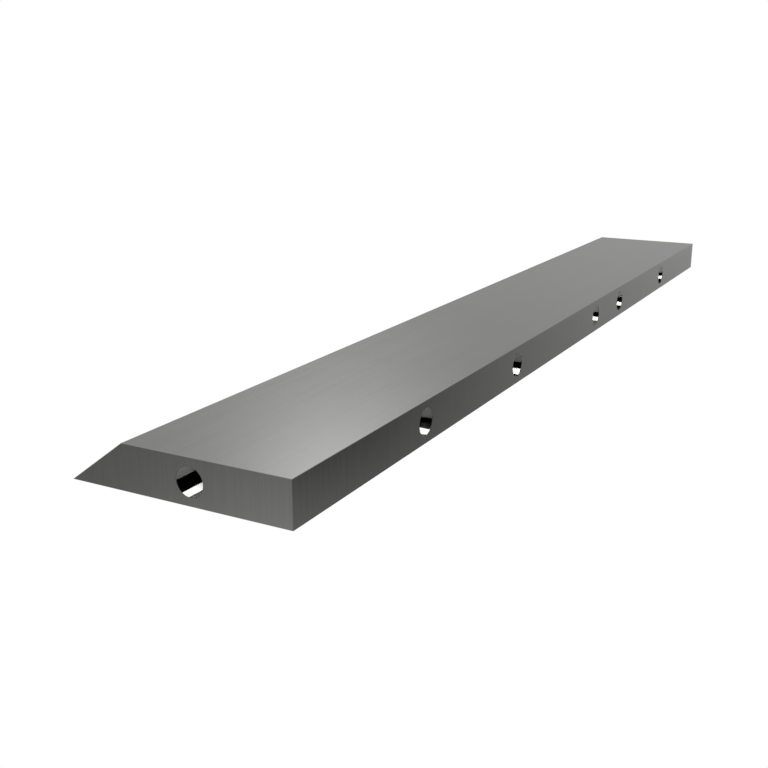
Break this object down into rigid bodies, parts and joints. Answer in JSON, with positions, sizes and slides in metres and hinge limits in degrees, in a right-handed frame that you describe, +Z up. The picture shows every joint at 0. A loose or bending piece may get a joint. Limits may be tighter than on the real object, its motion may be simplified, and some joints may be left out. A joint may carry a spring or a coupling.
{
  "type": "granulator stator knife",
  "caption": "Flat steel bar with a full-thickness bevel ground to a cutting edge along a long side, and blind screw holes in the square side and an end.",
  "frame": {"origin": "middle of the full-width bottom face, which the bar lies on", "axes": "+X along the length, away from the drilled end; +Y across the width, towards the cutting edge; +Z up through the thickness"},
  "size_m": [0.612, 0.106, 0.02],
  "materials": {
    "ground_steel": "ground"
  },
  "bodies": {
    "root": {"stator_knife": "ground_steel"}
  },
  "joints": []
}
